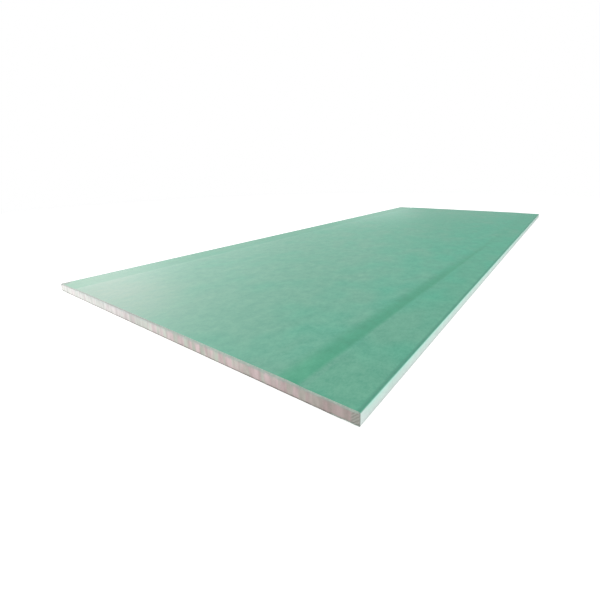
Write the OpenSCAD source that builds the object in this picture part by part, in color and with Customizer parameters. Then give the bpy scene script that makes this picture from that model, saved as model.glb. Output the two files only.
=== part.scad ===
// Moisture-resistant drywall sheet, lying flat with its face up.
// The sheet is one bonded piece: a gypsum core between a face paper and a back paper.
// X runs along the sheet, Y across it, and the origin is at the centre of the back.

/* [Sheet] */
// Length between the two cut ends
sheet_length = 1500; // [600:10:3600]
// Width across the two paper-wrapped long edges
sheet_width = 600; // [400:10:1250]
// Thickness over the flat middle of the sheet
sheet_thickness = 15; // [9.5:0.5:18]

/* [Tapered long edges] */
// Distance from a long edge to the line where the face starts to fall
taper_width = 82; // [45:1:95]
// Width of the rounded shoulder at the start of the taper
shoulder_width = 24; // [8:1:30]
// How far the face falls over the shoulder
shoulder_drop = 0.9; // [0.3:0.1:1.6]
// How much further the face falls from the shoulder to the long edge
recess_drop = 0.2; // [0.1:0.1:1]

/* [Paper folds] */
// Radius where the paper folds from the face round a long edge
face_fold_radius = 2; // [0.5:0.25:3]
// Radius where the paper folds from a long edge under the back
back_fold_radius = 1; // [0.25:0.25:2]

/* [Hidden] */

// Straight steps along one shoulder, and facets of a full circle at the folds
shoulder_steps = 11;
fold_facets = 64;
face_green = [0.44, 0.69, 0.6];

// Half the section, from the middle of the sheet to a long edge
edge_y = sheet_width / 2;
edge_height = sheet_thickness - shoulder_drop - recess_drop;
shoulder_top_y = edge_y - taper_width;

// Centres of the two folds, each one radius in from the faces that it joins
face_fold = [edge_y - face_fold_radius, edge_height - face_fold_radius];
back_fold = [edge_y - back_fold_radius, back_fold_radius];

// A point of the shoulder: part 0 is its top, and part 1 its foot.
// It leaves the flat middle level and steepens, as a parabola, to the crease where the recess starts.
function shoulder_point(part) = [
    shoulder_top_y + part * shoulder_width,
    sheet_thickness - shoulder_drop * part * part
];

// Half the outline, from the back up round a long edge to the shoulder's top
half_outline = concat(
    [
        [back_fold.x, 0],
        [edge_y, back_fold.y],
        [edge_y, face_fold.y],
        [face_fold.x, edge_height]
    ],
    [for (i = [shoulder_steps:-1:0]) shoulder_point(i / shoulder_steps)]
);

// The same points on the other side of the sheet, in the order that closes the outline
function other_side(points) = [
    for (i = [len(points) - 1:-1:0]) [-points[i].x, points[i].y]
];

// Cross-section of the sheet: Y across, Z up
module section() {
    polygon(concat(half_outline, other_side(half_outline)));
    for (side = [-1, 1]) {
        translate([side * face_fold.x, face_fold.y]) circle(face_fold_radius, $fn = fold_facets);
        translate([side * back_fold.x, back_fold.y]) circle(back_fold_radius, $fn = fold_facets);
    }
}

// The whole sheet: its section carried from one cut end to the other
module drywall_sheet() {
    color(face_green)
        rotate([90, 0, 90])
            linear_extrude(sheet_length, center = true)
                section();
}

drywall_sheet();
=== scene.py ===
import math

import bmesh
import bpy
import numpy as np
from mathutils import Matrix, Vector, noise


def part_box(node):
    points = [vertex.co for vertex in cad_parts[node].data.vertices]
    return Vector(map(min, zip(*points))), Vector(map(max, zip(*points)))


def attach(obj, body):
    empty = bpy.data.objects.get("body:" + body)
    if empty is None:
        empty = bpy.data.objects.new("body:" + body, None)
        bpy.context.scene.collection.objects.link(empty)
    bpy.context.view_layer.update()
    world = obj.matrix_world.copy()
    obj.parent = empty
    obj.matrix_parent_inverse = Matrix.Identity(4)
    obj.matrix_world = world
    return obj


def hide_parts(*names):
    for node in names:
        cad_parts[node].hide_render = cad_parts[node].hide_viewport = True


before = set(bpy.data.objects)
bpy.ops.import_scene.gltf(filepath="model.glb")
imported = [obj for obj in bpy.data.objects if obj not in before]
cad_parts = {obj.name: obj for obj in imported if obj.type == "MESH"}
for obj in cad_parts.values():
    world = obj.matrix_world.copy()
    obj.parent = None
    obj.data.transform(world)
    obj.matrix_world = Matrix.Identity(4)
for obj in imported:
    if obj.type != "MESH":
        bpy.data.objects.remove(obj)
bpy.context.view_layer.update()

# The sheet is one bonded piece of drywall. Its looks are made as its three layers:
# the green face paper that wraps both long edges, the gypsum core that shows at the
# cut ends, and the grey back paper. Places are in metres, in the sheet's own frame:
# the near cut end is at -X, and the right long edge at -Y.

MM = 0.001
SHEET = "drywall_sheet"
low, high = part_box(SHEET)
LENGTH, WIDTH, THICKNESS = high - low
EDGE = WIDTH / 2
END = LENGTH / 2
NEAR = -END

# Tapered long edges, as on the solid
TAPER_WIDTH = 82 * MM
SHOULDER_WIDTH = 24 * MM
SHOULDER_DROP = 0.9 * MM
RECESS_DROP = 0.2 * MM
FACE_FOLD_RADIUS = 2 * MM
BACK_FOLD_RADIUS = 1 * MM
EDGE_HEIGHT = THICKNESS - SHOULDER_DROP - RECESS_DROP
SHOULDER_TOP = EDGE - TAPER_WIDTH
SHOULDER_FOOT = SHOULDER_TOP + SHOULDER_WIDTH
CREASE_WIDTH = 2 * MM

# Papers: the back paper's margins lie over the face paper's flaps
FACE_PAPER = 0.45 * MM
BACK_PAPER = 0.4 * MM
FLAP_WIDTH = 28 * MM
BACK_MARGIN = 18 * MM

# How the outer side of a paper departs from a true plane, and its cut edge from a true line
PAPER_RIPPLE = 0.12 * MM
RIPPLE_LENGTH = 70 * MM
PAPER_RAG = 0.3 * MM
RAG_LENGTH = 6 * MM

# Torn pulp that hangs from the face paper's cut edge: at most so far, and less below the fold
PULP_HANG = 3 * MM
PULP_LENGTH = 5 * MM
PULP_FOLD = 1 * MM
PULP_AT_EDGE = 0.15

# Cut gypsum: how far it lies behind the paper at least, and the depth, the size across and up
# and the noise's shift of its streaks, its scratches and its grit
CUT_DEPTH = 0.1 * MM
CUT_MARKS = (
    (0.3 * MM, 5 * MM, 40 * MM, 0),
    (0.16 * MM, 1.4 * MM, 9 * MM, 3),
    (0.14 * MM, 1.6 * MM, 1.6 * MM, 5),
)

# Pits in the cut gypsum, which take up a share of the noise's range
PIT_DEPTH = 0.5 * MM
PIT_SIZE = 3 * MM
PIT_SHARE = 0.28
PIT_SHIFT = 8

# The torn rim of the cut gypsum, under the face paper and over the back paper
TEAR_LENGTH = 3.5 * MM
TOP_TEAR = 0.35 * MM
TOP_TEAR_MORE = 0.5 * MM
TOP_TEAR_REACH = 1.3 * MM
TOP_TEAR_SHIFT = 11
BACK_TEAR = 0.8 * MM
BACK_TEAR_REACH = 0.6 * MM
BACK_TEAR_SHIFT = 14

# Seeds of the noise that shapes the pieces
FACE_RIPPLE_SEED = 3.7
BACK_RIPPLE_SEED = 9.1
FACE_RAG_SEED = 1.5
BACK_RAG_SEED = 4.5
END_RAG_SEED = 7.3
PULP_SEED = 8.2
END_PULP_SEED = 3.1
NEAR_CUT_SEED = 21.3
FAR_CUT_SEED = 57.9

# Mesh steps, and the angles in degrees from which a piece's edges are sharp
FLAT_STEPS = 100
SHOULDER_STEPS = 14
CREASE_STEPS = 2
RECESS_STEPS = 9
FOLD_STEPS = 8
WALL_STEPS = 6
FLAP_STEPS = 5
STATION_STEP = 18 * MM
END_ZONE = 3 * MM
END_STEP = 0.8 * MM
BACK_STEPS = 200
CORE_COLUMN = 0.8 * MM
CORE_ROWS = 18
PAPER_SHARP = 40
CORE_SHARP = 60

# Camera: where it stood, which way it looked, and its lens in pixels of the square picture
PICTURE_SIDE = 600
SENSOR_WIDTH = 36
CAMERA_PLACE = Vector((-0.9657, -0.4149, 0.2009))
CAMERA_YAW = math.radians(36.479)
CAMERA_PITCH = math.radians(14.534)
CAMERA_ROLL = math.radians(-0.87)
FOCAL_LENGTH = 354.23
LENS_CENTRE = (313, 262)
CLIP_START = 0.01

# Patterns in the finishes: the size of their spots along X, Y and Z, and the noise's detail
# and roughness
MOTTLE = ((20 * MM, 18 * MM, 18 * MM), 4.0, 0.85)
FIBRE = ((5 * MM, 0.9 * MM, 0.9 * MM), 3.0, 0.6)
BLOTCH = ((70 * MM, 45 * MM, 45 * MM), 1.0, 0.5)
TORN = ((30 * MM, 5 * MM, 3 * MM), 2.0, 0.6)
PATCH = ((60 * MM, 10 * MM, 45 * MM), 1.0, 0.5)
STREAK = ((40 * MM, 7 * MM, 30 * MM), 1.5, 0.6)
GRIT = ((1.2 * MM, 1.2 * MM, 1.2 * MM), 4.0, 0.7)
CLOUD = ((14 * MM, 10 * MM, 10 * MM), 3.0, 0.6)
BACK_FIBRE = ((6 * MM, 1 * MM, 1 * MM), 3.0, 0.6)

# The middle of a shade's two colours, and of the noise's range
MIDDLE = 0.5

# Face paper: the darker and the lighter colour of each shade, and its plain colours
FRESH_GREEN = ((0.054, 0.348, 0.226, 1), (0.112, 0.443, 0.297, 1))
PURE_GREEN = ((0.040, 0.354, 0.228, 1), (0.088, 0.451, 0.300, 1))
# The greyed green serves the random greyer blotches and the painted sheen towards the near left corner
GREYED_AND_SHEEN_GREEN = ((0.083, 0.345, 0.235, 1), (0.160, 0.441, 0.311, 1))
# The two crease greens are painted shade for the tapers' recesses and the right crease
CREASE_SHADE_GREEN = ((0.029, 0.288, 0.168, 1), (0.054, 0.360, 0.217, 1))
CUT_CREASE_SHADE_GREEN = ((0.014, 0.320, 0.168, 1), (0.034, 0.392, 0.212, 1))
WALL_MINT = ((0.468, 0.615, 0.559, 1), (0.556, 0.711, 0.652, 1))
# The next mint is a painted highlight along the top of the walls
HIGHLIGHT_MINT = ((0.411, 0.686, 0.595, 1), (0.46, 0.746, 0.65, 1))
DULL_PULP = ((0.228, 0.251, 0.228, 1), (0.376, 0.41, 0.376, 1))
PALE_PULP = ((0.285, 0.376, 0.319, 1), (0.456, 0.559, 0.479, 1))
# A pale dust colour for the near left corner, partly dust and partly painted glare
DUST_AND_GLARE = (0.5, 0.4, 0.37, 1)
# The fold's dark green and the wall's grey foot are painted shade
FOLD_SHADE_GREEN = (0.05, 0.24, 0.165, 1)
FOOT_SHADE_MINT = (0.515, 0.584, 0.556, 1)
WORN_MINT = (0.603, 0.671, 0.647, 1)
SCUFF_GREY = (0.17, 0.2, 0.185, 1)

# Face paper: how far its patterns change its shade, its roughness and its relief
MOTTLE_SHADE = 3
FIBRE_SHADE = 0.5
TORN_SHADE = 2
FACE_ROUGHNESS = 0.6
MOTTLE_ROUGHNESS = 0.2
FIBRE_ROUGHNESS = 0.1
SMOOTH_LOSS = 0.09
FACE_SPECULAR = 0.6
MOTTLE_RELIEF = 2
FACE_BUMP = (0.25 * MM, 0.45)

# Flat face: where each change starts and ends, and how strong it is.
# The two slants run from corner to corner, on X - Y and on X + Y.
PURE_RIGHT = (20 * MM, 230 * MM)
# Painted sheen: the face greys towards the near left corner along the slant on X - Y
SHEEN_SLANT = (300 * MM, -650 * MM)
GREYED_LEAST = 0.1
SHEEN_GREYING = 0.85
GREYED_BLOTCH = 2.2
# Pale dust colour at the near left corner, partly painted glare
DUST_AND_GLARE_ALONG = (NEAR + 170 * MM, NEAR + 20 * MM)
DUST_AND_GLARE_ACROSS = (-60 * MM, 170 * MM)
DUST_AND_GLARE_SHARE = 0.21
DUST_AND_GLARE_MOTTLE = 0.3
SMOOTH_SLANT = (50 * MM, 750 * MM)

# Tapers: painted shade in the recess, and the right one's crease painted as shade, whose two sides stray
# outwards along the sheet
RECESS_ACROSS = (SHOULDER_FOOT - 1 * MM, SHOULDER_FOOT + 4 * MM)
LEFT_ACROSS = (0, 10 * MM)
RIGHT_RECESS_SHADE = 0.2
LEFT_RECESS_SHADE = 0.36
FLANK_RIGHT = (SHOULDER_FOOT - 8 * MM, SHOULDER_FOOT + 14 * MM)
FLANK_STRAY = 0.045
STEP_RIGHT = (SHOULDER_FOOT + 7 * MM, SHOULDER_FOOT + 14 * MM)
STEP_STRAY = 0.022
CREASE_FAR = (NEAR + 300 * MM, NEAR + 900 * MM)
CREASE_FAR_LOSS = 0.72
CREASE_CUT = (NEAR + 100 * MM, NEAR + 15 * MM)
CREASE_CUT_LOSS = 0.35

# Long edges: the painted shade line before the fold, and the wall with its painted highlight at the top,
# its painted shade at the foot and its worn near end
FOLD_SHADE_ACROSS = (EDGE - 5.5 * MM, EDGE - 2 * MM)
FOLD_SHADE_SHARE = 0.55
OVER_EDGE = (EDGE - 2 * MM, EDGE - 1.2 * MM)
ON_WALL = (EDGE_HEIGHT - 0.4 * MM, EDGE_HEIGHT - 1.7 * MM)
WALL_HIGHLIGHT = (EDGE_HEIGHT - 4.8 * MM, EDGE_HEIGHT - 2.2 * MM)
WALL_FOOT_SHADE = (6.5 * MM, 2 * MM)
WORN_ALONG = (NEAR + 16 * MM, NEAR + 3 * MM)
WORN_RAG = 20 * MM
WORN_SHARE = 0.7

# Knocked left corners, and the pulp of the face paper's cut edges
KNOCK_REACH = (22 * MM, 6 * MM)
KNOCK_RAG = 10 * MM
KNOCK_SHARE = 0.8
PALE_ACROSS = (60 * MM, -120 * MM)
CUT_ALONG = (END - 0.6 * MM, END - 0.35 * MM)

# Gypsum: the darker and the lighter colour of each shade, and the smeared pulp from left to right
PALE_GYPSUM = ((0.484, 0.482, 0.472, 1), (0.659, 0.664, 0.655, 1))
PINK_GYPSUM = ((0.495, 0.393, 0.385, 1), (0.699, 0.57, 0.57, 1))
BEIGE_GYPSUM = ((0.432, 0.459, 0.392, 1), (0.597, 0.641, 0.558, 1))
# The dusty gypsum is partly dust and partly painted shade, darker towards the right long edge
DUSTY_SHADED_GYPSUM = ((0.34, 0.275, 0.256, 1), (0.493, 0.404, 0.386, 1))
OLIVE_GYPSUM = ((0.235, 0.234, 0.202, 1), (0.493, 0.492, 0.446, 1))
SMEARED_PULP = ((0.392, 0.453, 0.447, 1), (0.32, 0.434, 0.392, 1))

# Gypsum: how far its patterns change its shade, its roughness and its relief
STREAK_SHADE = 2.6
GRIT_SHADE = 0.9
PATCH_SHADE = 5
GYPSUM_ROUGHNESS = 0.85
GRIT_ROUGHNESS = 0.1
STREAK_RELIEF = 0.5
GYPSUM_BUMP = (0.3 * MM, 0.5)

# Gypsum: where each change starts and ends, how ragged it is and how strong
PATCHED_ACROSS = (130 * MM, -130 * MM)
PATCHED_LEAST = 0.3
DUST_AND_SHADE_RIGHT = (170 * MM, 290 * MM)
DUST_AND_SHADE_RAG = 60 * MM
DUST_AND_SHADE_SHARE = 0.75
FRAYED_UP = (THICKNESS - 5.5 * MM, THICKNESS - 1 * MM)
FRAYED_RAG = 5 * MM
FRAYED_SHARE = 0.75
HARD_RIGHT = (EDGE - 10 * MM, EDGE - 7 * MM)
HARD_RAG = 6 * MM
HATCH_STEP = 3.2 * MM
HATCH_RAG = 5 * MM
HATCH_SHADE = 0.22

# Back paper: its darker and its lighter grey, and how far its patterns change it
BACK_GREY = ((0.27, 0.27, 0.25, 1), (0.42, 0.41, 0.38, 1))
BACK_SHADE = 0.7
BACK_ROUGHNESS = 0.75
BACK_FIBRE_ROUGHNESS = 0.1
CLOUD_RELIEF = 0.5
BACK_BUMP = (0.15 * MM, 0.4)

# Studio: light levels where 1 is white, the floor, and how far from the sheet it fades to plain white
SEEN_RAYS = ("Is Camera Ray", "Is Glossy Ray", "Is Transmission Ray")
WHITE = (1, 1, 1, 1)
WHITE_LIGHT = 1.0
ROOM_LIGHT = 0.55
FLOOR_PAINT = (0.8, 0.8, 0.8, 1)
FLOOR_LIFT = 0.62
FLOOR_FADE = (1.0, 2.2)
FLOOR_REACH = 60
FLOOR_DROP = 0.2 * MM

# Soft lamps: where each stands, the point that it lights, its size, its level and its colour
SOFT_BOXES = {
    "left_window": ((-0.1, 1.75, 0.8), (-0.5, 0.1, 0), (0.6, 0.4), 18.3, (1, 0.88, 0.91)),
    "mid_left": ((0.8, 1.75, 0.85), (-0.5, 0.1, 0), (0.6, 0.4), 3.2, (1, 1, 1)),
    "far_left": ((2.0, 1.9, 0.55), (0, 0, 0), (2.4, 0.9), 1.4, (1, 1, 1)),
    "front_left": ((-1.28, 0.45, 0.16), (-0.75, 0.05, 0), (0.4, 0.24), 11, (1, 1, 1)),
    "right_fill": ((-0.55, -1.6, 0.5), (-0.35, -0.3, 0), (1.4, 0.6), 4.5, (1, 1, 1)),
}


class Signal:
    """One socket of a finish. Arithmetic on it adds Math nodes to that finish."""

    def __init__(self, finish, socket):
        self.finish = finish
        self.socket = socket

    def __add__(self, other):
        return self.finish.maths("ADD", self, other)

    def __radd__(self, other):
        return self.finish.maths("ADD", other, self)

    def __sub__(self, other):
        return self.finish.maths("SUBTRACT", self, other)

    def __rsub__(self, other):
        return self.finish.maths("SUBTRACT", other, self)

    def __mul__(self, other):
        return self.finish.maths("MULTIPLY", self, other)

    def __rmul__(self, other):
        return self.finish.maths("MULTIPLY", other, self)

    def __neg__(self):
        return self.finish.maths("MULTIPLY", self, -1)

    def __abs__(self):
        return self.finish.maths("ABSOLUTE", self)


class Finish:
    """One node tree of a material or the world, written as expressions on its sockets."""

    def __init__(self, owner):
        owner.use_nodes = True
        self.owner = owner
        self.tree = owner.node_tree
        self.tree.nodes.clear()

    def node(self, kind, settings=None, inputs=None, output=0):
        """Adds a node: its settings first, then the values or links of its sockets."""
        made = self.tree.nodes.new(kind)
        for name, value in (settings or {}).items():
            setattr(made, name, value)
        for name, value in (inputs or {}).items():
            if isinstance(value, Signal):
                self.tree.links.new(value.socket, made.inputs[name])
            else:
                made.inputs[name].default_value = value
        return Signal(self, made.outputs[output]) if made.outputs else None

    def maths(self, operation, *inputs):
        """A Math node on numbers and signals."""
        return self.node("ShaderNodeMath", {"operation": operation}, dict(enumerate(inputs)))

    def distance(self, first, second):
        """The length of two steps at right angles to each other."""
        return self.maths("SQRT", first * first + second * second)

    def place(self):
        """Where a point of the surface lies, in the object's own frame."""
        return self.node("ShaderNodeTexCoord", output="Object")

    def axes(self, place):
        """The three numbers of a place."""
        first = self.node("ShaderNodeSeparateXYZ", None, {0: place})
        return [Signal(self, socket) for socket in first.socket.node.outputs]

    def grain(self, place, size, detail, roughness):
        """Noise about 0, with spots of a given size in metres along X, Y and Z."""
        stretch = {"Vector": place, "Scale": [1 / side for side in size]}
        stretched = self.node("ShaderNodeMapping", None, stretch)
        inputs = {"Vector": stretched, "Scale": 1.0, "Detail": detail, "Roughness": roughness}
        return self.node("ShaderNodeTexNoise", None, inputs) - MIDDLE

    def rise(self, value, start, end):
        """0 up to start and 1 from end on, with a smooth change between them. End may be the smaller."""
        inputs = {"Value": value, "From Min": start, "From Max": end}
        return self.node("ShaderNodeMapRange", {"interpolation_type": "SMOOTHSTEP"}, inputs)

    def mix(self, share, first, second):
        """A colour between two colours."""
        settings = {"data_type": "RGBA", "clamp_factor": True}
        return self.node("ShaderNodeMix", settings, {0: share, 6: first, 7: second}, 2)

    def bump(self, height, depth, strength):
        inputs = {"Height": height, "Distance": depth, "Strength": strength}
        return self.node("ShaderNodeBump", None, inputs)

    def shown(self):
        """1 where the camera sees this straight on, in gloss or through glass, and 0 for other light."""
        camera, gloss, glass = [self.node("ShaderNodeLightPath", output=ray) for ray in SEEN_RAYS]
        return self.maths("MAXIMUM", self.maths("MAXIMUM", camera, gloss), glass)

    def surface(self, inputs):
        shader = self.node("ShaderNodeBsdfPrincipled", None, inputs)
        return self.output(shader)

    def output(self, shader, kind="ShaderNodeOutputMaterial"):
        self.node(kind, None, {"Surface": shader})
        return self.owner


class FacePaper(Finish):
    """Green paper: mottle and fibres, painted shade in the tapers' recesses and along the right crease,
    and pale mint round the long edges with painted shade and highlight.
    """

    def __init__(self):
        super().__init__(bpy.data.materials.new("face_paper"))
        place = self.place()
        self.x, self.y, self.z = self.axes(place)
        self.right = -self.y
        self.across = abs(self.y)
        self.along = abs(self.x)
        self.mottle = self.grain(place, *MOTTLE)
        self.fibre = self.grain(place, *FIBRE)
        self.blotch = self.grain(place, *BLOTCH)
        self.torn = self.grain(place, *TORN)
        self.shade = MIDDLE + self.mottle * MOTTLE_SHADE + self.fibre * FIBRE_SHADE
        self.off_edge = 1 - self.rise(self.across, *OVER_EDGE)

    def flat_face(self):
        """Purer green to the right, greyer blotches, and painted sheen greying the green towards the
        near left corner, with a pale dust colour there that is partly painted glare.
        """
        fresh = self.mix(self.shade, *FRESH_GREEN)
        pure = self.mix(self.shade, *PURE_GREEN)
        greyed_and_sheen = self.mix(self.shade, *GREYED_AND_SHEEN_GREEN)
        clean = self.mix(self.rise(self.right, *PURE_RIGHT), fresh, pure)
        # Painted sheen: greyer towards the near left corner
        greying_and_sheen = GREYED_LEAST + self.rise(self.x - self.y, *SHEEN_SLANT) * SHEEN_GREYING
        green = self.mix(greying_and_sheen + self.blotch * GREYED_BLOTCH, clean, greyed_and_sheen)
        # Pale dust colour at the near left corner, partly painted glare
        dust_and_glare = self.rise(self.x, *DUST_AND_GLARE_ALONG) * self.rise(self.y, *DUST_AND_GLARE_ACROSS)
        return self.mix(dust_and_glare * (DUST_AND_GLARE_SHARE + self.mottle * DUST_AND_GLARE_MOTTLE), green, DUST_AND_GLARE)

    def tapers(self, face):
        """Painted shade in the recess of both tapers, and along the crease of the right one, which fades
        along the sheet.
        """
        recess = self.rise(self.across, *RECESS_ACROSS)
        left_side = self.rise(self.y, *LEFT_ACROSS)
        recess_shade = recess * (RIGHT_RECESS_SHADE + left_side * (LEFT_RECESS_SHADE - RIGHT_RECESS_SHADE))
        flank = self.rise(self.right - self.x * FLANK_STRAY, *FLANK_RIGHT)
        step = self.rise(self.right - self.x * STEP_STRAY, *STEP_RIGHT)
        far_side = self.rise(self.x, *CREASE_FAR)
        cut_side = self.rise(self.x, *CREASE_CUT)
        lasting = (1 - far_side * CREASE_FAR_LOSS) * (1 - cut_side * CREASE_CUT_LOSS)
        crease = flank * (1 - step) * lasting
        # Darker greens painted as shade in the right crease and in the recesses
        crease_shade = self.mix(self.shade, *CREASE_SHADE_GREEN)
        cut_crease_shade = self.mix(self.shade, *CUT_CREASE_SHADE_GREEN)
        return self.mix(crease + recess_shade, face, self.mix(cut_side, crease_shade, cut_crease_shade))

    def long_edges(self, face):
        """A painted shade line before the fold, then the mint wall: a painted highlight at its top and
        painted shade greying its foot.
        """
        # Painted shade before the fold, a painted highlight at the wall's top and painted shade at its
        # foot
        fold_shaded = self.mix(self.rise(self.across, *FOLD_SHADE_ACROSS) * FOLD_SHADE_SHARE, face, FOLD_SHADE_GREEN)
        wall = self.mix(self.shade, *WALL_MINT)
        top_highlight = self.mix(self.shade, *HIGHLIGHT_MINT)
        foot_shaded = self.mix(self.rise(self.z, *WALL_FOOT_SHADE), wall, FOOT_SHADE_MINT)
        mint = self.mix(self.rise(self.z, *WALL_HIGHLIGHT), foot_shaded, top_highlight)
        worn = self.rise(self.x + self.torn * WORN_RAG, *WORN_ALONG) * WORN_SHARE
        return self.mix(self.rise(self.z, *ON_WALL), fold_shaded, self.mix(worn, mint, WORN_MINT))

    def left_corners(self, paper):
        """Grey scuffs on the face where the left corners were knocked."""
        to_corner = self.distance(END - self.along, EDGE - self.y)
        knocked = self.rise(to_corner + self.mottle * KNOCK_RAG, *KNOCK_REACH) * KNOCK_SHARE
        return self.mix(knocked * self.off_edge, paper, SCUFF_GREY)

    def cut_edges(self, paper):
        """Torn pulp at the cut ends, which is paler under the right part of the face."""
        shade = MIDDLE + self.torn * TORN_SHADE
        dull = self.mix(shade, *DULL_PULP)
        pale = self.mix(shade, *PALE_PULP)
        pulp = self.mix(self.rise(self.y, *PALE_ACROSS) * self.off_edge, dull, pale)
        return self.mix(self.rise(self.along, *CUT_ALONG), paper, pulp)

    def material(self):
        paper = self.long_edges(self.tapers(self.flat_face()))
        patterned = self.mottle * MOTTLE_ROUGHNESS + self.fibre * FIBRE_ROUGHNESS
        smoother = self.rise(self.x + self.y, *SMOOTH_SLANT)
        return self.surface(
            {
                "Base Color": self.cut_edges(self.left_corners(paper)),
                "Roughness": FACE_ROUGHNESS + patterned - smoother * SMOOTH_LOSS,
                "Specular IOR Level": FACE_SPECULAR,
                "Normal": self.bump(self.mottle * MOTTLE_RELIEF + self.fibre, *FACE_BUMP),
            }
        )


class CutGypsum(Finish):
    """Cut gypsum: pink and beige patches, streaks from the knife, dust and painted shade towards the
    right, and a dark corner on the right.
    """

    def __init__(self):
        super().__init__(bpy.data.materials.new("gypsum_core"))
        place = self.place()
        _, self.y, self.z = self.axes(place)
        self.right = -self.y
        self.patch = self.grain(place, *PATCH)
        self.streak = self.grain(place, *STREAK)
        self.torn = self.grain(place, *TORN)
        self.grit = self.grain(place, *GRIT)
        self.shade = MIDDLE + self.streak * STREAK_SHADE + self.grit * GRIT_SHADE
        self.to_right = self.rise(self.y, *PATCHED_ACROSS)

    def core(self):
        """Pale gypsum, more patched to the right, and darkened near the right long edge by dust and
        painted shade.
        """
        pale = self.mix(self.shade, *PALE_GYPSUM)
        pink = self.mix(self.shade, *PINK_GYPSUM)
        beige = self.mix(self.shade, *BEIGE_GYPSUM)
        patches = self.mix(MIDDLE + self.patch * PATCH_SHADE, pink, beige)
        patched = PATCHED_LEAST + self.to_right * (1 - PATCHED_LEAST)
        # Dust and painted shade darken the gypsum towards the right long edge
        dust_and_shade = self.rise(self.right + self.patch * DUST_AND_SHADE_RAG, *DUST_AND_SHADE_RIGHT) * DUST_AND_SHADE_SHARE
        return self.mix(dust_and_shade, self.mix(patched, pale, patches), self.mix(self.shade, *DUSTY_SHADED_GYPSUM))

    def frayed_top(self, core):
        """Grey-green pulp of the torn paper, smeared over the top of the cut."""
        frayed = self.rise(self.z + self.torn * FRAYED_RAG, *FRAYED_UP) * FRAYED_SHARE
        return self.mix(frayed, core, self.mix(self.to_right, *SMEARED_PULP))

    def hard_corner(self, core):
        """The dense olive corner under the right long edge, with the knife's slanting marks."""
        slant = (self.y + self.z + self.streak * HATCH_RAG) * (math.tau / HATCH_STEP)
        hatch = self.maths("SINE", slant)
        olive = self.mix(MIDDLE + hatch * HATCH_SHADE + self.grit, *OLIVE_GYPSUM)
        return self.mix(self.rise(self.right + self.streak * HARD_RAG, *HARD_RIGHT), core, olive)

    def material(self):
        return self.surface(
            {
                "Base Color": self.hard_corner(self.frayed_top(self.core())),
                "Roughness": GYPSUM_ROUGHNESS + self.grit * GRIT_ROUGHNESS,
                "Normal": self.bump(self.grit + self.streak * STREAK_RELIEF, *GYPSUM_BUMP),
            }
        )


def back_paper_finish():
    """Plain grey recycled paper with flecks and fibres along the sheet."""
    finish = Finish(bpy.data.materials.new("back_paper"))
    place = finish.place()
    cloud = finish.grain(place, *CLOUD)
    fibre = finish.grain(place, *BACK_FIBRE)
    return finish.surface(
        {
            "Base Color": finish.mix(MIDDLE + (cloud + fibre) * BACK_SHADE, *BACK_GREY),
            "Roughness": BACK_ROUGHNESS + fibre * BACK_FIBRE_ROUGHNESS,
            "Normal": finish.bump(cloud * CLOUD_RELIEF + fibre, *BACK_BUMP),
        }
    )


def floor_finish():
    """White floor: it takes the sheet's shadow near by, and reads as white to the camera."""
    finish = Finish(bpy.data.materials.new("floor"))
    paint = finish.node("ShaderNodeBsdfDiffuse", None, {"Color": FLOOR_PAINT})
    lift = finish.node("ShaderNodeEmission", None, {"Strength": FLOOR_LIFT})
    white = finish.node("ShaderNodeEmission", None, {"Strength": WHITE_LIGHT})
    lifted = finish.node("ShaderNodeAddShader", None, {0: paint, 1: lift})
    x, y, _ = finish.axes(finish.place())
    fade = finish.rise(finish.distance(x, y), *FLOOR_FADE)
    seen = finish.node("ShaderNodeMixShader", None, {0: fade, 1: lifted, 2: white})
    choice = finish.node("ShaderNodeMixShader", None, {0: finish.shown(), 1: paint, 2: seen})
    return finish.output(choice)


def make_piece(name, points, faces, material, sharp_angle):
    """A closed mesh piece with its faces turned outwards."""
    mesh = bpy.data.meshes.new(name)
    mesh.from_pydata(points, [], faces)
    shape = bmesh.new()
    shape.from_mesh(mesh)
    bmesh.ops.recalc_face_normals(shape, faces=shape.faces)
    shape.to_mesh(mesh)
    shape.free()
    mesh.shade_smooth()
    mesh.set_sharp_from_angle(angle=math.radians(sharp_angle))
    mesh.materials.append(material)
    piece = bpy.data.objects.new(name, mesh)
    bpy.context.scene.collection.objects.link(piece)
    return piece


def straight(start, end, steps):
    """Points from start up to, but not including, end."""
    share = np.linspace(0, 1, steps, endpoint=False)[:, None]
    return np.array(start) + share * (np.array(end) - np.array(start))


def arc(centre, radius, start, end, steps):
    """Points of an arc between two angles in degrees, without its last point."""
    angle = np.radians(np.linspace(start, end, steps, endpoint=False))
    return np.array(centre) + radius * np.stack([np.cos(angle), np.sin(angle)], 1)


def shoulder():
    """The fall of the face where the taper starts, which steepens to the crease at its foot."""
    share = np.linspace(0, 1, SHOULDER_STEPS, endpoint=False)
    return np.stack([SHOULDER_TOP + share * SHOULDER_WIDTH, THICKNESS - SHOULDER_DROP * share**2], 1)


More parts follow.
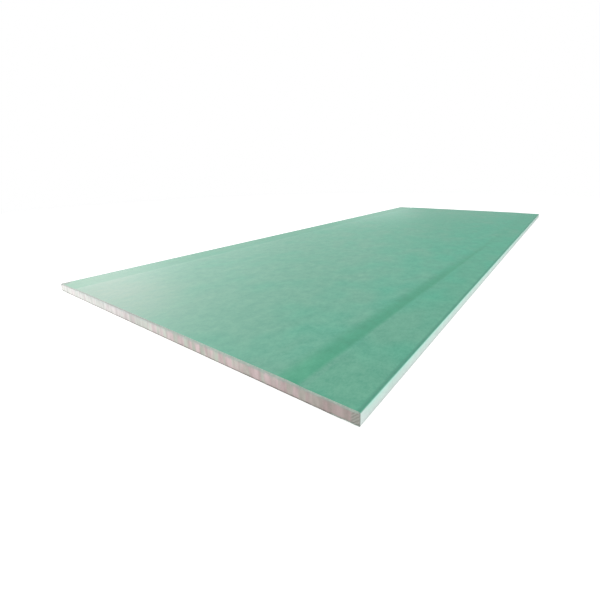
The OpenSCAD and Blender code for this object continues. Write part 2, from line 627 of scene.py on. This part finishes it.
def half_path():
    """The face paper's outer side in section, from the sheet's middle round one edge to its flap."""
    shoulder_foot = (SHOULDER_FOOT, THICKNESS - SHOULDER_DROP)
    recess_start = (SHOULDER_FOOT + CREASE_WIDTH, THICKNESS - SHOULDER_DROP)
    face_fold = (EDGE - FACE_FOLD_RADIUS, EDGE_HEIGHT - FACE_FOLD_RADIUS)
    back_fold = (EDGE - BACK_FOLD_RADIUS, BACK_PAPER + BACK_FOLD_RADIUS)
    flap_end = (EDGE - FLAP_WIDTH, BACK_PAPER)
    return np.concatenate(
        [
            straight((0, THICKNESS), (SHOULDER_TOP, THICKNESS), FLAT_STEPS),
            shoulder(),
            straight(shoulder_foot, recess_start, CREASE_STEPS),
            straight(recess_start, (face_fold[0], EDGE_HEIGHT), RECESS_STEPS),
            arc(face_fold, FACE_FOLD_RADIUS, 90, 0, FOLD_STEPS),
            straight((EDGE, face_fold[1]), (EDGE, back_fold[1]), WALL_STEPS),
            arc(back_fold, BACK_FOLD_RADIUS, 0, -90, FOLD_STEPS),
            straight((back_fold[0], BACK_PAPER), flap_end, FLAP_STEPS),
            [flap_end],
        ]
    )


def whole_path():
    """The outer side from flap to flap, with its outward normals and the length along it."""
    half = half_path()
    other = half[:0:-1] * (-1, 1)
    path = np.concatenate([other, half])
    along = np.gradient(path, axis=0)
    along /= np.linalg.norm(along, axis=1)[:, None]
    outward = np.stack([-along[:, 1], along[:, 0]], 1)
    steps = np.linalg.norm(np.diff(path, axis=0), axis=1)
    return path, outward, np.concatenate([[0], np.cumsum(steps)])


def ripple(*place):
    """Smooth noise from 0 to 1 at a place given in steps of the noise."""
    return 0.5 + 0.5 * max(-1.0, min(1.0, noise.noise(Vector(place))))


def stations():
    """Places along the sheet where the papers' sections are set, closer together at the cut ends."""
    inner = END - END_ZONE
    count = round(2 * inner / STATION_STEP)
    first = [NEAR, NEAR + END_STEP]
    last = [END - END_STEP, END]
    return np.concatenate([first, np.linspace(-inner, inner, count), last])


def ragged(x, along, seed):
    """A paper's cut end, which the knife leaves a little ragged."""
    if abs(x) < END:
        return x
    rag = PAPER_RAG * ripple(along / RAG_LENGTH, seed, math.copysign(END_RAG_SEED, x))
    return math.copysign(END - rag, x)


def pulp(x, z, along):
    """How much thicker torn pulp makes the face paper at its cut ends."""
    if abs(x) < END or z < BACK_FOLD_RADIUS:
        return 0
    share = 1 if z > EDGE_HEIGHT - PULP_FOLD else PULP_AT_EDGE
    return share * PULP_HANG * ripple(along / PULP_LENGTH, PULP_SEED, math.copysign(END_PULP_SEED, x))


def tube_faces(rings, ring):
    """Quads round a closed ring of points carried through several rings."""
    faces = []
    for i in range(rings - 1):
        for j in range(ring):
            a, b = i * ring + j, i * ring + (j + 1) % ring
            faces.append((a, b, b + ring, a + ring))
    return faces


def layer_faces(rings, across):
    """Faces of a thin layer: each ring runs over its outer side and back along its inner side."""
    ring = 2 * across
    faces = tube_faces(rings, ring)
    for first in (0, (rings - 1) * ring):
        for j in range(across - 1):
            faces.append((first + j, first + j + 1, first + ring - 2 - j, first + ring - 1 - j))
    return faces


def face_paper():
    """The face paper: over the face, round both long edges and under the back as two flaps."""
    path, outward, along = whole_path()
    section = list(zip(path, outward, along))
    places = stations()
    points = []
    for x in places:
        for (y, z), (out_y, out_z), run in section:
            sunk = PAPER_RIPPLE * ripple(x / RIPPLE_LENGTH, run / RIPPLE_LENGTH, FACE_RIPPLE_SEED)
            points.append((ragged(x, run, FACE_RAG_SEED), y - out_y * sunk, z - out_z * sunk))
        for (y, z), (out_y, out_z), run in reversed(section):
            depth = FACE_PAPER + pulp(x, z, run)
            points.append((ragged(x, run, FACE_RAG_SEED), y - out_y * depth, z - out_z * depth))
    faces = layer_faces(len(places), len(path))
    return make_piece("face_paper", points, faces, FacePaper().material(), PAPER_SHARP)


def back_paper():
    """The back paper, which stops short of both long edges."""
    reach = EDGE - BACK_MARGIN
    across = np.linspace(-reach, reach, BACK_STEPS)
    places = stations()
    points = []
    for x in places:
        for y in across:
            sunk = PAPER_RIPPLE * ripple(x / RIPPLE_LENGTH, y / RIPPLE_LENGTH, BACK_RIPPLE_SEED)
            points.append((ragged(x, y, BACK_RAG_SEED), y, sunk))
        for y in across[::-1]:
            points.append((ragged(x, y, BACK_RAG_SEED), y, BACK_PAPER))
    faces = layer_faces(len(places), len(across))
    return make_piece("back_paper", points, faces, back_paper_finish(), PAPER_SHARP)


def core_sides():
    """The core's section: its columns across the sheet, and its bottom and top at each."""
    path, outward, _ = whole_path()
    middle = len(path) // 2
    half = (path - outward * FACE_PAPER)[middle:]
    wall = half[:, 0].max()
    top_end = FLAT_STEPS + SHOULDER_STEPS + CREASE_STEPS + RECESS_STEPS + FOLD_STEPS
    top = half[:top_end + 1]
    under = half[top_end + WALL_STEPS:][::-1]
    edge = wall - np.linspace(0, FACE_FOLD_RADIUS, FOLD_STEPS)[:0:-1]
    count = round((wall - FACE_FOLD_RADIUS) / CORE_COLUMN)
    columns = np.concatenate([np.linspace(0, edge[0], count, endpoint=False), edge, [wall]])
    highest = np.interp(columns, top[:, 0], top[:, 1])
    lowest = np.interp(columns, under[:, 0], under[:, 1])
    lowest = np.where(columns < EDGE - FLAP_WIDTH, BACK_PAPER, lowest)
    columns = np.concatenate([-columns[:0:-1], columns])
    return columns, np.concatenate([lowest[:0:-1], lowest]), np.concatenate([highest[:0:-1], highest])


def crumble(y, z, below, above, seed):
    """How far the cut gypsum lies behind the papers' cut edges."""
    depth = CUT_DEPTH
    for mark_depth, wide, tall, shift in CUT_MARKS:
        depth += mark_depth * ripple(y / wide, z / tall, seed + shift)
    pit = ripple(y / PIT_SIZE, z / PIT_SIZE, seed + PIT_SHIFT) - (1 - PIT_SHARE)
    depth += PIT_DEPTH * max(0, pit) / PIT_SHARE
    top_tear = TOP_TEAR + TOP_TEAR_MORE * ripple(y / TEAR_LENGTH, 0, seed + TOP_TEAR_SHIFT)
    back_tear = BACK_TEAR * ripple(y / TEAR_LENGTH, 0, seed + BACK_TEAR_SHIFT)
    depth += top_tear * math.exp(-((above / TOP_TEAR_REACH) ** 2))
    return depth + back_tear * math.exp(-below / BACK_TEAR_REACH)


def core_faces(wide, tall):
    """Faces of both cut ends, and of the sides that join their rims."""
    faces = []
    far = wide * tall
    for i in range(wide - 1):
        for j in range(tall - 1):
            a = i * tall + j
            quad = (a, a + 1, a + tall + 1, a + tall)
            faces.append(quad)
            faces.append(tuple(far + corner for corner in quad[::-1]))
    rim = [i * tall for i in range(wide)]
    rim += [(wide - 1) * tall + j for j in range(1, tall)]
    rim += [i * tall + tall - 1 for i in range(wide - 2, -1, -1)]
    rim += list(range(tall - 2, 0, -1))
    for a, b in zip(rim, rim[1:] + rim[:1]):
        faces.append((a, b, far + b, far + a))
    return faces


def gypsum_core():
    """The core: two cut ends with their relief, joined by plain sides that the papers cover."""
    columns, lowest, highest = core_sides()
    rows = 0.5 - 0.5 * np.cos(np.linspace(0, math.pi, CORE_ROWS + 1))
    points = []
    for side, seed in ((-1, NEAR_CUT_SEED), (1, FAR_CUT_SEED)):
        for y, bottom, top in zip(columns, lowest, highest):
            for z in bottom + rows * (top - bottom):
                points.append((side * (END - crumble(y, z, z - bottom, top - z, seed)), y, z))
    faces = core_faces(len(columns), len(rows))
    return make_piece("gypsum_core", points, faces, CutGypsum().material(), CORE_SHARP)


def make_camera():
    """The camera, turned by its yaw, its pitch and its roll."""
    forward = Vector(
        (
            math.cos(CAMERA_PITCH) * math.cos(CAMERA_YAW),
            math.cos(CAMERA_PITCH) * math.sin(CAMERA_YAW),
            -math.sin(CAMERA_PITCH),
        )
    )
    level = Vector((math.sin(CAMERA_YAW), -math.cos(CAMERA_YAW), 0))
    right = level * math.cos(CAMERA_ROLL) + level.cross(forward) * math.sin(CAMERA_ROLL)
    up = right.cross(forward)
    lens = bpy.data.cameras.new("camera")
    lens.sensor_width = SENSOR_WIDTH
    lens.lens = FOCAL_LENGTH / PICTURE_SIDE * SENSOR_WIDTH
    lens.shift_x = 0.5 - LENS_CENTRE[0] / PICTURE_SIDE
    lens.shift_y = LENS_CENTRE[1] / PICTURE_SIDE - 0.5
    lens.clip_start = CLIP_START
    camera = bpy.data.objects.new("camera", lens)
    turn = Matrix((right, up, -forward)).transposed().to_4x4()
    camera.matrix_world = Matrix.Translation(CAMERA_PLACE) @ turn
    bpy.context.scene.collection.objects.link(camera)
    bpy.context.scene.camera = camera


def soft_box(name, place, aim, size, level, colour):
    """A soft lamp of a given brightness, turned to the point that it lights."""
    lamp = bpy.data.lights.new(name, "AREA")
    lamp.shape = "RECTANGLE"
    lamp.size, lamp.size_y = size
    lamp.energy = level * math.pi * size[0] * size[1]
    lamp.color = colour
    box = bpy.data.objects.new(name, lamp)
    box.location = place
    box.rotation_euler = (Vector(aim) - Vector(place)).to_track_quat("-Z", "Y").to_euler()
    box.visible_camera = False
    bpy.context.scene.collection.objects.link(box)


def make_world():
    """Dim even room light, which the camera sees as plain white."""
    world = bpy.data.worlds.new("room")
    bpy.context.scene.world = world
    finish = Finish(world)
    room = finish.node("ShaderNodeBackground", None, {"Color": WHITE, "Strength": ROOM_LIGHT})
    white = finish.node("ShaderNodeBackground", None, {"Color": WHITE, "Strength": WHITE_LIGHT})
    choice = finish.node("ShaderNodeMixShader", None, {0: finish.shown(), 1: room, 2: white})
    finish.output(choice, "ShaderNodeOutputWorld")


def make_floor():
    """A wide floor, a hair below the back paper."""
    corners = [(-1, -1), (1, -1), (1, 1), (-1, 1)]
    points = [(x * FLOOR_REACH, y * FLOOR_REACH, -FLOOR_DROP) for x, y in corners]
    mesh = bpy.data.meshes.new("floor")
    mesh.from_pydata(points, [], [(0, 1, 2, 3)])
    mesh.materials.append(floor_finish())
    floor = bpy.data.objects.new("floor", mesh)
    bpy.context.scene.collection.objects.link(floor)


make_camera()
for layer in (face_paper(), gypsum_core(), back_paper()):
    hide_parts(SHEET)
    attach(layer, "root")

make_floor()
make_world()
for name, settings in SOFT_BOXES.items():
    soft_box(name, *settings)
bpy.context.scene.view_settings.view_transform = "Standard"
